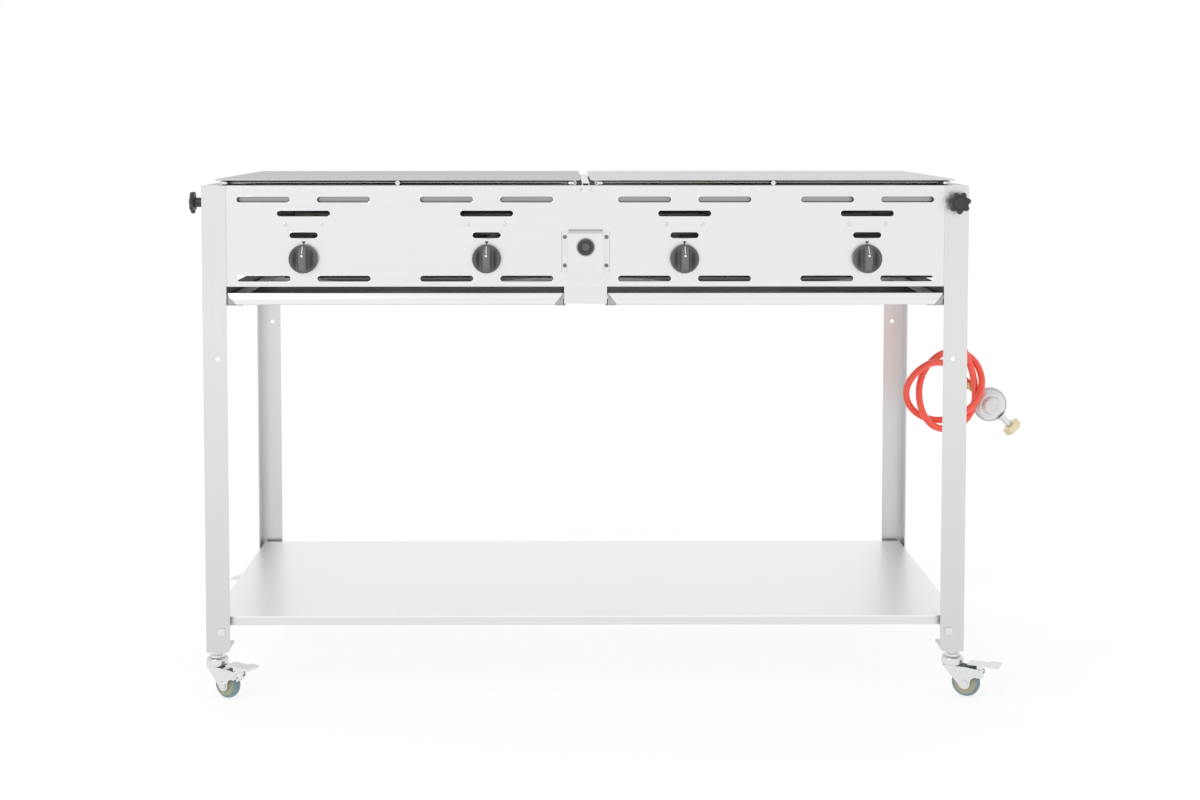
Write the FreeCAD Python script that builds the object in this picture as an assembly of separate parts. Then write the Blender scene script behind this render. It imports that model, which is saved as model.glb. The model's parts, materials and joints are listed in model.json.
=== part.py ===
import FreeCAD, Part
import math
import os

# Stainless gas barbecue trolley. Units are millimetres. The origin is on the floor under the middle of
# the frame, +X is the user's right hand side, -Y is the front with the gas knobs and +Z is up.

V = FreeCAD.Vector
UP = V(0, 0, 1)
FRONT = V(0, -1, 0)
BACK = V(0, 1, 0)

# Driving dimensions of the frame
FRAME_WIDTH = 1340.0
FRAME_DEPTH = 600.0
LEG_TOP = 909.0
LEG_BOTTOM = 83.0
LEG_FLANGE = 42.0
LEG_SHEET = 2.0
SHEET = 1.5
PANEL_BOTTOM = 732.0
PANEL_RETURN = 14.0
SCREEN_X = 630.0
SIDE_RETURN = 22.0
SHELF_TOP = 144.0
SHELF_LIP = 16.0
FIT = 0.05
FACE_GAP = 0.3

HALF_W = FRAME_WIDTH / 2
HALF_D = FRAME_DEPTH / 2
CABINET_X = HALF_W - LEG_SHEET
CABINET_Y = HALF_D - LEG_SHEET
WALL_X = CABINET_X - SHEET
WALL_Y = CABINET_Y - SHEET

# Burners, valves and the holes that belong to each of them
BURNER_X = (-492.5, -173.0, 173.0, 492.5)
VALVE_Z = 781.0
BURNER_Z = 842.0
BURNER_R = 13.0
BURNER_LEG = 70.0
KNOB_R = 25.0
KNOB_BACK = -302.5
KNOB_SKIRT = 7.0
KNOB_LENGTH = 24.0
STEM_R = 4.0
VALVE_R = 11.0
SLOT_HIGH = 10.8
LONG_SLOT = 93.5
SHORT_SLOT = 50.0
SLOTS = ((-70, 884.5, LONG_SLOT), (70, 884.5, LONG_SLOT), (0, 860.0, LONG_SLOT),
         (0, 822.0, SHORT_SLOT), (-70, 746.0, LONG_SLOT), (70, 746.0, LONG_SLOT))
MANIFOLD_Y = -270.0
MANIFOLD_Z = 755.0
MANIFOLD_R = 10.0

# Igniter in the middle of the front panel
IGNITER_Z = 802.5
IGNITER_BOX = (-318.0, 60.0, 753.0, 832.0)
IGNITER_R = 16.0
BUTTON_R = 8.25

# Grates, lids and drip trays
GRATE_BACK = 196.0
DECK_FRONT = 184.0
BAR_R = 4.0
BAR_Z = LEG_TOP + BAR_R + FACE_GAP
WIRE_R = 2.5
WIRE_PITCH = 20.0
LID_SHEET = 2.4
LID_X = (8.0, 647.0)
LID_Y = (-299.0, 200.0)
LID_Z = BAR_Z + BAR_R + FACE_GAP
TRAY_X = (41.0, 625.0)
TRAY_LIP_X = (39.0, 627.0)
TRAY_Z = (700.3, 721.0)
TRAY_SHEET = 1.2
RAIL_Z = 698.5

# Star shaped clamp knobs, one through each corner of the frame
CLAMP_Z = 879.0
SIGHT_HOLE_Z = 604.0
CLAMP_IN = 20.0
STAR_R = 20.0
STAR_LOBES = 7
STUD_R = 4.0

# Castors, drawn about their own swivel axis with the trail along +X
WHEEL_R = 25.0
WHEEL_HALF = 9.0
TRAIL = 25.0
FORK_IN = 11.0
FORK_SHEET = 2.5
CROWN = 2.5
HEAD_Z = (54.5, 70.0)
HEAD_R = 20.0
STEM = 5.0
PIN = (49.6, 45.5)
PIN_R = 2.5
PEDAL_Z = (59.5, 62.0)
PEDAL_X = (30.0, 86.0)
SHOE_ANGLE = 25.0
SHOE_R = (27.8, 32.0)
CASTOR_X = 655.0
CASTOR_Y = 277.0
CASTOR_TURNS = {"front_left": -33.0, "front_right": -27.0, "rear_left": 153.0, "rear_right": 147.0}

# Gas hose, regulator and bottle nut on the right hand side
INLET = V(700.0, 0.0, 708.0)
HOSE_R = 6.5
ARC_SHARE = 0.45
HOSE_ROUTE = ((700, 0, 708), (700, 0, 673), (706, 1, 638), (720, 2, 605), (736, 3, 573), (748, 5, 540),
              (755, 7, 506), (753, 6, 472), (735, 0, 443), (705, -8, 429), (672, -16, 433),
              (649, -22, 458), (641, -14, 492), (646, -2, 526), (665, 9, 556), (695, 18, 576),
              (728, 23, 578), (756, 18, 560), (768, 4, 528), (761, -10, 496), (740, -14, 469),
              (711, -6, 451), (679, 2, 444), (647, 4, 453), (622, -4, 477), (615, -16, 510),
              (633, -22, 542), (665, -13, 560), (698, 6, 556), (722, 24, 537), (742.5, 24, 516.5))
REGULATOR_R = 33.5
SLOPE = V(1, 0, -1).normalize()
OUTLET = 62.0
NECK = 55.0
NUT_ACROSS = 31.0
NUT_LENGTH = 15.0


def box(x, y, z):
    """Block between two corners, each axis given as a pair of values in any order."""
    low = V(min(x), min(y), min(z))
    return Part.makeBox(max(x) - low.x, max(y) - low.y, max(z) - low.z, low)


def rod(start, end, radius):
    """Round bar between two points."""
    along = end - start
    return Part.makeCylinder(radius, along.Length, start, along)


def mirror_x(shape):
    return shape.mirror(V(0, 0, 0), V(1, 0, 0))


def turned(shape, degrees, move=V(0, 0, 0)):
    """Copy turned about the vertical through the origin and then moved."""
    copy = shape.copy()
    copy.rotate(V(0, 0, 0), UP, degrees)
    copy.translate(move)
    return copy


def hex_prism(start, direction, across, length):
    """Hexagonal prism, across its flats, from a point along a direction."""
    corner = across / math.sqrt(3)
    ring = [V(corner * math.cos(math.radians(60 * i)), corner * math.sin(math.radians(60 * i)), 0)
            for i in range(7)]
    solid = Part.Face(Part.makePolygon(ring)).extrude(V(0, 0, length))
    solid.Placement = FreeCAD.Placement(start, FreeCAD.Rotation(UP, direction))
    return solid


def save(name, *solids):
    shape = solids[0] if len(solids) == 1 else Part.makeCompound(list(solids))
    shape.exportStep("parts/" + name + ".step")


def fused(*shapes):
    return shapes[0].multiFuse(list(shapes[1:])).removeSplitter()


# Frame: four angle legs with a foot plate welded into each, and the bottom shelf


def clamp_points():
    """Where each clamp stud crosses the frame's outer face, and the way its knob points out."""
    return {"front_right": (V(HALF_W - CLAMP_IN, -HALF_D, CLAMP_Z), FRONT),
            "front_left": (V(-HALF_W, -HALF_D + CLAMP_IN, CLAMP_Z), V(-1, 0, 0)),
            "rear_right": (V(HALF_W, HALF_D - CLAMP_IN, CLAMP_Z), V(1, 0, 0)),
            "rear_left": (V(-HALF_W + CLAMP_IN, HALF_D, CLAMP_Z), BACK)}


def stud_hole(corner):
    point, out = clamp_points()[corner]
    return rod(point + out * 5, point - out * 12, STUD_R + FIT)


def leg(corner, side, end):
    """Angle leg with its corner outwards, its two flanges cut back at the foot."""
    face = box((side * HALF_W, side * (HALF_W - LEG_FLANGE)), (end * HALF_D, end * CABINET_Y),
               (LEG_BOTTOM, LEG_TOP))
    flank = box((side * HALF_W, side * CABINET_X), (end * HALF_D, end * (HALF_D - LEG_FLANGE)),
                (LEG_BOTTOM, LEG_TOP))
    foot = box((side * CABINET_X, side * (HALF_W - LEG_FLANGE)),
               (end * CABINET_Y, end * (HALF_D - LEG_FLANGE)), (LEG_BOTTOM + 6, LEG_BOTTOM + 10))
    cut = 5.0
    tip_x = side * (HALF_W - LEG_FLANGE)
    tip_y = end * (HALF_D - LEG_FLANGE)
    face_cut = Part.Face(Part.makePolygon([
        V(tip_x, end * (HALF_D + 1), LEG_BOTTOM), V(tip_x + side * cut, end * (HALF_D + 1), LEG_BOTTOM),
        V(tip_x, end * (HALF_D + 1), LEG_BOTTOM + cut), V(tip_x, end * (HALF_D + 1), LEG_BOTTOM)]))
    flank_cut = Part.Face(Part.makePolygon([
        V(side * (HALF_W + 1), tip_y, LEG_BOTTOM), V(side * (HALF_W + 1), tip_y + end * cut, LEG_BOTTOM),
        V(side * (HALF_W + 1), tip_y, LEG_BOTTOM + cut), V(side * (HALF_W + 1), tip_y, LEG_BOTTOM)]))
    angle = face.fuse(flank)
    angle = angle.cut(face_cut.extrude(V(0, -end * 4, 0))).cut(flank_cut.extrude(V(-side * 4, 0, 0)))
    body = fused(angle, foot)
    sight_hole = rod(V(side * 645, end * (HALF_D + 1), SIGHT_HOLE_Z),
                     V(side * 645, end * (HALF_D - 4), SIGHT_HOLE_Z), 4)
    stem_hole = rod(V(side * CASTOR_X, end * CASTOR_Y, LEG_BOTTOM),
                    V(side * CASTOR_X, end * CASTOR_Y, LEG_BOTTOM + 20), STEM + FIT)
    return body.cut(stem_hole).cut(sight_hole).cut(stud_hole(corner))


def bottom_shelf():
    """Flat shelf with its four edges folded down."""
    x = HALF_W - 8
    y = HALF_D - 14
    tray = box((-x, x), (-y, y), (SHELF_TOP - SHELF_LIP, SHELF_TOP))
    inside = box((-x + SHEET, x - SHEET), (-y + SHEET, y - SHEET),
                 (SHELF_TOP - SHELF_LIP - 1, SHELF_TOP - SHEET))
    return tray.cut(inside)


def shelf_bracket(side, end):
    """Small angle under each shelf corner, bolted to the leg's front or back flange."""
    ledge = box((side * CABINET_X, side * (HALF_W - 40)), (end * CABINET_Y, end * (HALF_D - 34)),
                (SHELF_TOP - SHELF_LIP - 2, SHELF_TOP - SHELF_LIP))
    tab = box((side * CABINET_X, side * (HALF_W - 40)), (end * CABINET_Y, end * (CABINET_Y - 2)),
              (SHELF_TOP - 37, SHELF_TOP - SHELF_LIP))
    return fused(ledge, tab)


def shelf_bolt(side, end):
    """Square headed bolt seen on the outside of the leg near the floor."""
    x = side * (HALF_W - 27)
    z = SHELF_TOP - 24
    head = box((x - 6, x + 6), (end * HALF_D, end * (HALF_D + 2.5)), (z - 6, z + 6))
    return head


# Cabinet: front, side and back panels, rear deck, centre divider and cover


def slot(x, z, length):
    """Cutter for a round ended slot through the front panel."""
    half = SLOT_HIGH / 2
    y = (-CABINET_Y - 1, -CABINET_Y + 3)
    middle = box((x - length / 2 + half, x + length / 2 - half), y, (z - half, z + half))
    ends = [rod(V(x + s * (length / 2 - half), y[0], z), V(x + s * (length / 2 - half), y[1], z), half)
            for s in (-1, 1)]
    return fused(middle, *ends)


def front_panel():
    """Slotted panel; its top return is folded down again as a screen behind the upper slots."""
    plate = box((-CABINET_X, CABINET_X), (-CABINET_Y, -WALL_Y), (PANEL_BOTTOM, LEG_TOP))
    returns = [box((-WALL_X, WALL_X), (-CABINET_Y, -CABINET_Y + PANEL_RETURN), z)
               for z in ((LEG_TOP - SHEET, LEG_TOP), (PANEL_BOTTOM, PANEL_BOTTOM + SHEET))]
    returns.append(box((-SCREEN_X, SCREEN_X), (-CABINET_Y + PANEL_RETURN - SHEET, -CABINET_Y + PANEL_RETURN),
                       (LEG_TOP - 29, LEG_TOP)))
    panel = fused(plate, *returns)
    cutters = []
    for centre in BURNER_X:
        cutters += [slot(centre + dx, z, length) for dx, z, length in SLOTS]
        cutters.append(rod(V(centre, -HALF_D, VALVE_Z), V(centre, -290, VALVE_Z), STEM_R + 2))
    cutters.append(rod(V(0, -HALF_D, IGNITER_Z), V(0, -290, IGNITER_Z), 13))
    cutters.append(stud_hole("front_right"))
    return panel.cut(cutters)


def rear_panel():
    plate = box((-CABINET_X, CABINET_X), (WALL_Y, CABINET_Y), (PANEL_BOTTOM, LEG_TOP))
    lower = box((-WALL_X, WALL_X), (CABINET_Y - PANEL_RETURN, CABINET_Y),
                (PANEL_BOTTOM, PANEL_BOTTOM + SHEET))
    return fused(plate, lower).cut(stud_hole("rear_left"))


def side_panel(side, corner):
    plate = box((side * WALL_X, side * CABINET_X), (-WALL_Y, WALL_Y), (PANEL_BOTTOM, LEG_TOP))
    lower = box((side * (CABINET_X - PANEL_RETURN), side * CABINET_X),
                (-CABINET_Y + PANEL_RETURN, CABINET_Y - PANEL_RETURN), (PANEL_BOTTOM, PANEL_BOTTOM + SHEET))
    upper = box((side * (CABINET_X - SIDE_RETURN), side * CABINET_X),
                (-CABINET_Y + PANEL_RETURN, DECK_FRONT), (LEG_TOP - SHEET, LEG_TOP))
    panel = fused(plate, lower, upper).cut(stud_hole(corner))
    if side > 0:
        panel = panel.cut(rod(V(WALL_X - 5, 0, MANIFOLD_Z), V(HALF_W + 5, 0, MANIFOLD_Z), 10))
    return panel


def rear_deck():
    """Flat strip behind the grates; its folded front edge carries the grate bars."""
    top = box((-WALL_X, WALL_X), (DECK_FRONT, WALL_Y), (LEG_TOP - SHEET, LEG_TOP))
    lip = box((-WALL_X, WALL_X), (DECK_FRONT, DECK_FRONT + SHEET), (LEG_TOP - 18, LEG_TOP))
    return fused(top, lip)


def centre_divider():
    """Inverted channel that runs from front to back between the two grates."""
    half = 6.5
    top = LEG_TOP + 5
    strip = box((-half, half), (-CABINET_Y, GRATE_BACK), (top - SHEET, top))
    walls = []
    for side in (-1, 1):
        x = (side * (half - SHEET), side * half)
        walls.append(box(x, (-CABINET_Y, GRATE_BACK), (LEG_TOP, top)))
        walls.append(box(x, (-CABINET_Y + PANEL_RETURN, DECK_FRONT), (LEG_TOP - 26, top)))
    return fused(strip, *walls)


def centre_cover():
    """Plate that closes the gap between the two drip trays."""
    plate = box((-37.5, 37.5), (-CABINET_Y, -WALL_Y), (PANEL_BOTTOM - 30.5, PANEL_BOTTOM))
    tabs = [box((s * 31, s * 37.5), (-HALF_D + 0.5, -CABINET_Y), (PANEL_BOTTOM - 6, PANEL_BOTTOM))
            for s in (-1, 1)]
    return fused(plate, *tabs)


def tray_rail(side, web_x, inner):
    """Angle rail under the cabinet; the tray slides on its ledge."""
    reach = -30 if inner < 0 else 16
    web = box((side * web_x, side * (web_x + math.copysign(SHEET, inner) * -1)), (-WALL_Y, WALL_Y),
              (RAIL_Z, PANEL_BOTTOM))
    ledge = box((side * web_x, side * (web_x + reach)), (-WALL_Y, WALL_Y), (RAIL_Z, RAIL_Z + SHEET))
    return fused(web, ledge)


# Gas train: burners, their carriers, valves, manifold, and the ignition


def burner(centre):
    """Hairpin burner with a cross tube, and the mixing tube that feeds it from the valve's jet."""
    bend_y = -205.0
    back = 150.0
    cross_y = 0.0
    legs = [rod(V(centre + s * BURNER_LEG, bend_y, BURNER_Z), V(centre + s * BURNER_LEG, back, BURNER_Z),
                BURNER_R) for s in (-1, 1)]
    bend = Part.makeTorus(BURNER_LEG, BURNER_R, V(centre, bend_y, BURNER_Z), UP)
    bend = bend.common(box((centre - 100, centre + 100), (bend_y, bend_y - 100),
                           (BURNER_Z - 50, BURNER_Z + 50)))
    cross = rod(V(centre - BURNER_LEG, cross_y, BURNER_Z), V(centre + BURNER_LEG, cross_y, BURNER_Z), 11)
    mixer = rod(V(centre, -240, VALVE_Z), V(centre, cross_y, VALVE_Z), 12)
    elbow = Part.makeSphere(12, V(centre, cross_y, VALVE_Z))
    riser = rod(V(centre, cross_y, VALVE_Z), V(centre, cross_y, BURNER_Z), 12)
    collar = rod(V(centre, -240, VALVE_Z), V(centre, -222, VALVE_Z), 15)
    tube = legs[0].multiFuse([legs[1], bend, cross, mixer, elbow, riser, collar])
    mouth = rod(V(centre, -241, VALVE_Z), V(centre, -190, VALVE_Z), 10)
    return tube.cut(mouth)


def burner_rail(y):
    """Cross strip between the side panels, which the burners lie on."""
    top = BURNER_Z - BURNER_R
    strip = box((-WALL_X, WALL_X), (y - 11, y + 11), (top - 2, top))
    web = box((-WALL_X, WALL_X), (y + 9, y + 11), (top - 14, top))
    return fused(strip, web)


def gas_valve(centre):
    """Brass valve body behind the panel, its boss sitting on the manifold and its jet at the back."""
    body = rod(V(centre, -WALL_Y, VALVE_Z), V(centre, -258, VALVE_Z), VALVE_R)
    boss = box((centre - 8, centre + 8), (-278, -262), (MANIFOLD_Z, VALVE_Z))
    jet = rod(V(centre, -258, VALVE_Z), V(centre, -234, VALVE_Z), 4)
    bore = rod(V(centre, -WALL_Y - 1, VALVE_Z), V(centre, -280, VALVE_Z), STEM_R + FIT)
    pipe = rod(V(centre - 20, MANIFOLD_Y, MANIFOLD_Z), V(centre + 20, MANIFOLD_Y, MANIFOLD_Z), MANIFOLD_R)
    return fused(body, boss, jet).cut(bore).cut(pipe)


def gas_manifold():
    """Pipe along the front, turned back inside the right hand panel to the inlet."""
    end_x = 640.0
    front = rod(V(-530, MANIFOLD_Y, MANIFOLD_Z), V(end_x, MANIFOLD_Y, MANIFOLD_Z), MANIFOLD_R)
    corner = Part.makeSphere(MANIFOLD_R, V(end_x, MANIFOLD_Y, MANIFOLD_Z))
    back = rod(V(end_x, MANIFOLD_Y, MANIFOLD_Z), V(end_x, 12, MANIFOLD_Z), MANIFOLD_R)
    outlet = rod(V(end_x, 0, MANIFOLD_Z), V(WALL_X, 0, MANIFOLD_Z), 9)
    return front.multiFuse([corner, back, outlet])


def valve_stem(centre):
    return rod(V(centre, -318, VALVE_Z), V(centre, -283, VALVE_Z), STEM_R)


def gas_knob(centre):
    """Round skirt with a raised grip bar across it, on the valve stem."""
    face = KNOB_BACK - KNOB_LENGTH
    skirt = rod(V(centre, KNOB_BACK, VALVE_Z), V(centre, KNOB_BACK - KNOB_SKIRT, VALVE_Z), KNOB_R)
    grip = box((centre - 6, centre + 6), (KNOB_BACK, face), (VALVE_Z - KNOB_R, VALVE_Z + KNOB_R))
    round_grip = grip.common(rod(V(centre, KNOB_BACK, VALVE_Z), V(centre, face, VALVE_Z), KNOB_R))
    bore = rod(V(centre, KNOB_BACK + 1, VALVE_Z), V(centre, -318.3, VALVE_Z), STEM_R + FIT)
    return fused(skirt, round_grip).cut(bore)


def igniter_housing():
    """Folded cover with a sloping top, open at the back, with a fixing flange on each side."""
    front, width, low, high = IGNITER_BOX
    half = width / 2

    def profile(inset):
        points = [V(0, -CABINET_Y, low + inset), V(0, front + inset, low + inset),
                  V(0, front + inset, high - 6 - inset), V(0, -CABINET_Y, high - inset),
                  V(0, -CABINET_Y, low + inset)]
        face = Part.Face(Part.makePolygon(points))
        face.translate(V(-half + inset, 0, 0))
        return face.extrude(V(width - 2 * inset, 0, 0))

    cover = profile(0).cut(profile(SHEET))
    flanges = [box((s * half, s * 42), (-CABINET_Y - SHEET, -CABINET_Y), (low + 4, high - 3))
               for s in (-1, 1)]
    hole = rod(V(0, front - 1, IGNITER_Z), V(0, front + 3, IGNITER_Z), 11)
    return fused(cover, *flanges).cut(hole)


def igniter_body():
    """Threaded barrel and front ring of the piezo unit."""
    front = IGNITER_BOX[0]
    ring = rod(V(0, front - 4, IGNITER_Z), V(0, front, IGNITER_Z), IGNITER_R)
    barrel = rod(V(0, front, IGNITER_Z), V(0, -262, IGNITER_Z), 11)
    bore = rod(V(0, front - 5, IGNITER_Z), V(0, -300, IGNITER_Z), BUTTON_R + FIT)
    return fused(ring, barrel).cut(bore)


def igniter_button():
    front = IGNITER_BOX[0]
    return rod(V(0, front - 2.5, IGNITER_Z), V(0, -308, IGNITER_Z), BUTTON_R)


def spark_electrode(centre):
    """Ceramic rod on a short strap beside each burner's bend."""
    x = centre + 40
    y = -286
    strap = box((x - 8, x + 8), (-WALL_Y, y + 7), (BURNER_Z - 45, BURNER_Z - 43))
    ceramic = rod(V(x, y, BURNER_Z - 43), V(x, y, BURNER_Z - 12), 3.5)
    tip = rod(V(x, y, BURNER_Z - 12), V(x, y, BURNER_Z + 10), 1.2)
    return strap.multiFuse([ceramic, tip])


def pan_screw(x, z, face_y, radius=4.0):
    """Tapered screw head on a front face."""
    return Part.makeCone(radius, radius * 0.55, radius * 0.6, V(x, face_y, z), V(0, -1, 0))


def panel_screws():
    heads = [pan_screw(centre + dx, 841, -CABINET_Y) for centre in BURNER_X for dx in (-32, 32)]
    heads += [pan_screw(s * 36.5, z, -CABINET_Y - SHEET, 3.2) for s in (-1, 1) for z in (769, 819)]
    heads += [pan_screw(s * 8.5, 902, -CABINET_Y, 3.2) for s in (-1, 1)]
    return heads


# Grates, lids and drip trays, drawn for the right hand side and mirrored


def grate():
    """Wire grate: three long bars front to back, the outer two turned back as hairpins, and cross wires."""
    bars = []
    for x, step in ((636, -10), (20, 10)):
        bars.append(rod(V(x, -292, BAR_Z), V(x, GRATE_BACK, BAR_Z), BAR_R))
        hook = Part.makeTorus(abs(step) / 2, BAR_R - 1, V(x + step / 2, -292, BAR_Z), UP)
        bars.append(hook.common(box((x - 20, x + 20), (-292, -310), (BAR_Z - 9, BAR_Z + 9))))
        bars.append(rod(V(x + step, -292, BAR_Z), V(x + step, -260, BAR_Z), BAR_R - 1))
    bars.append(rod(V(328, -CABINET_Y, BAR_Z), V(328, GRATE_BACK, BAR_Z), BAR_R))
    count = int((GRATE_BACK + 262) // WIRE_PITCH) + 1
    wires = [rod(V(20, -262 + i * WIRE_PITCH, BAR_Z), V(636, -262 + i * WIRE_PITCH, BAR_Z), WIRE_R)
             for i in range(count)]
    return bars[0].multiFuse(bars[1:] + wires)


def lid():
    """Flat cover plate with rounded corners."""
    plate = box(LID_X, LID_Y, (LID_Z, LID_Z + LID_SHEET))
    upright = [edge for edge in plate.Edges if abs(edge.tangentAt(edge.FirstParameter).z) > 0.9]
    return plate.makeFillet(9, upright)


def drip_tray():
    """Shallow pan with a taller folded lip along its front."""
    low, high = TRAY_Z
    pan = box(TRAY_X, (-CABINET_Y + 2, 280), (low, high - 5))
    inside = box((TRAY_X[0] + TRAY_SHEET, TRAY_X[1] - TRAY_SHEET),
                 (-CABINET_Y + 2 + TRAY_SHEET, 280 - TRAY_SHEET), (low + TRAY_SHEET, high))
    lip = Part.Face(Part.makePolygon([
        V(TRAY_LIP_X[0] + 4, 0, low), V(TRAY_LIP_X[1] - 4, 0, low), V(TRAY_LIP_X[1], 0, low + 5),
        V(TRAY_LIP_X[1], 0, high), V(TRAY_LIP_X[0], 0, high), V(TRAY_LIP_X[0], 0, low + 5),
        V(TRAY_LIP_X[0] + 4, 0, low)])).extrude(V(0, 2, 0))
    lip.translate(V(0, -CABINET_Y, 0))
    return fused(pan.cut(inside), lip)


# Clamp knobs


def clamp_knob(corner):
    """Seven lobed knob with a hub, and a stud that runs through the frame into a weld nut."""
    lobe = 4.6
    ring_r = STAR_R - lobe
    head = Part.makeCylinder(ring_r, 8, V(0, 0, 14.5))
    lobes = [Part.makeCylinder(lobe, 8, V(ring_r * math.sin(a), -ring_r * math.cos(a), 14.5))
             for a in (2 * math.pi * i / STAR_LOBES for i in range(STAR_LOBES))]
    cap = Part.makeCylinder(12, 1, V(0, 0, 22.5))
    hub = Part.makeCylinder(8.5, 14.5 - FACE_GAP, V(0, 0, FACE_GAP))
    stud = Part.makeCylinder(STUD_R, 23, V(0, 0, -14))
    knob = head.multiFuse(lobes + [cap, hub, stud])
    point, out = clamp_points()[corner]
    upright = {"front_right": FreeCAD.Rotation(V(1, 0, 0), 90),
               "front_left": FreeCAD.Rotation(UP, -90) * FreeCAD.Rotation(V(1, 0, 0), 90),
               "rear_right": FreeCAD.Rotation(UP, 90) * FreeCAD.Rotation(V(1, 0, 0), 90),
               "rear_left": FreeCAD.Rotation(UP, 180) * FreeCAD.Rotation(V(1, 0, 0), 90)}[corner]
    knob.Placement = FreeCAD.Placement(point, upright)
    return knob


def clamp_nut(corner):
    """Weld nut on the inside of the cabinet wall."""
    point, out = clamp_points()[corner]
    start = point - out * (LEG_SHEET + SHEET)
    nut = hex_prism(start, out * -1, 13, 6)
    return nut.cut(rod(point, point - out * 20, STUD_R + FIT))


# Castors


def fork_plate():
    """Side plate of the fork: head end, round axle boss, a notch over the wheel and the pedal's ear."""
    boss = 10.0
    corner = V(TRAIL - boss, 0, WHEEL_R - 3)
    boss_end = V(TRAIL + boss, 0, WHEEL_R + 1)
    notch_end = V(PIN[0] - 4, 0, PIN[1] - 7.5)
    ear_end = V(PIN[0] + 1, 0, PIN[1] + 7)
    head = HEAD_Z[0]
    edges = [Part.LineSegment(V(-15, 0, head), corner),
             Part.Arc(corner, V(TRAIL, 0, WHEEL_R - boss), boss_end),
             Part.Arc(boss_end, V(TRAIL + 13.5, 0, WHEEL_R + 10), notch_end),
             Part.Arc(notch_end, V(PIN[0] + 6.6, 0, PIN[1] - 2), ear_end),
             Part.LineSegment(ear_end, V(17, 0, head)),
             Part.LineSegment(V(17, 0, head), V(-15, 0, head))]
    return Part.Face(Part.Wire([edge.toShape() for edge in edges])).extrude(V(0, FORK_SHEET, 0))


def castor_fork():
    """Pressed fork with its bearing head, the axle and the pedal pin riveted in."""
    outer = FORK_IN + FORK_SHEET
    plates = [fork_plate(), fork_plate()]
    plates[0].translate(V(0, FORK_IN, 0))
    plates[1].translate(V(0, -outer, 0))
    crown = box((-14, 17), (-outer, outer), (HEAD_Z[0] - CROWN, HEAD_Z[0]))
    head = Part.makeCylinder(HEAD_R, HEAD_Z[1] - HEAD_Z[0], V(0, 0, HEAD_Z[0]))
    rims = [edge for edge in head.Edges if abs(edge.Length - 2 * math.pi * HEAD_R) < 1]
    head = head.makeFillet(5, rims)
    axle = rod(V(TRAIL, -outer - 2, WHEEL_R), V(TRAIL, outer + 2, WHEEL_R), 4)
    nuts = [rod(V(TRAIL, s * outer, WHEEL_R), V(TRAIL, s * (outer + 3), WHEEL_R), 6) for s in (-1, 1)]
    pin = rod(V(PIN[0], -outer - 1, PIN[1]), V(PIN[0], outer + 1, PIN[1]), PIN_R)
    fork = plates[0].multiFuse([plates[1], crown, head, axle, pin] + nuts)
    return fork.cut(rod(V(0, 0, 45), V(0, 0, 90), STEM + FIT))


def castor_wheel():
    """Rounded tyre and hub in one, with a bore for the axle."""
    disc = rod(V(TRAIL, -WHEEL_HALF, WHEEL_R), V(TRAIL, WHEEL_HALF, WHEEL_R), WHEEL_R)
    rims = [edge for edge in disc.Edges if abs(edge.Length - 2 * math.pi * WHEEL_R) < 1]
    disc = disc.makeFillet(5, rims)
    hub = rod(V(TRAIL, -FORK_IN + FACE_GAP, WHEEL_R), V(TRAIL, FORK_IN - FACE_GAP, WHEEL_R), 8)
    return fused(disc, hub).cut(rod(V(TRAIL, -20, WHEEL_R), V(TRAIL, 20, WHEEL_R), 4 + FIT))


def brake_pedal():
    """Flat pedal on a barrel round its pin, with a brake shoe that faces the tyre."""
    half = FORK_IN - 0.5
    barrel = rod(V(PIN[0], -half, PIN[1]), V(PIN[0], half, PIN[1]), 4.5)
    web = box((PIN[0] - 3, PIN[0] + 4), (-half, half), (PIN[1], PEDAL_Z[0]))
    plate = box(PEDAL_X, (-12, 12), PEDAL_Z)
    tread = box((PEDAL_X[1] - 20, PEDAL_X[1]), (-15, 15), (PEDAL_Z[0], PEDAL_Z[1] + 1.5))
    arm = box((PIN[0] - 0.5, PIN[0] + 4.5), (-7, 7), (PIN[1] - 8, PIN[1]))
    shoe = box((SHOE_R[0], SHOE_R[1]), (-7, 7), (-3.5, 3.5))
    shoe.rotate(V(0, 0, 0), V(0, -1, 0), SHOE_ANGLE)
    shoe.translate(V(TRAIL, 0, WHEEL_R))
    pedal = barrel.multiFuse([web, plate, tread, arm, shoe])
    return pedal.cut(rod(V(PIN[0], -20, PIN[1]), V(PIN[0], 20, PIN[1]), PIN_R + FIT))


def castor_stem():
    """Fixed top race and stem, clamped through the foot plate by a nut."""
    plate_top = LEG_BOTTOM + 10
    race_top = HEAD_Z[1] + 4
    rivet_top = HEAD_Z[0] - CROWN - FACE_GAP
    stem = rod(V(0, 0, rivet_top - 3), V(0, 0, plate_top + 14), STEM)
    rivet = rod(V(0, 0, rivet_top - 3), V(0, 0, rivet_top), 7)
    race = rod(V(0, 0, HEAD_Z[1] + FACE_GAP), V(0, 0, race_top), 14)
    lower_nut = hex_prism(V(0, 0, race_top), UP, 17, LEG_BOTTOM + 6 - race_top)
    upper_nut = hex_prism(V(0, 0, plate_top), UP, 17, 8)
    return stem.multiFuse([rivet, race, lower_nut, upper_nut])


# Gas inlet, hose, regulator and bottle nut


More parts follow.
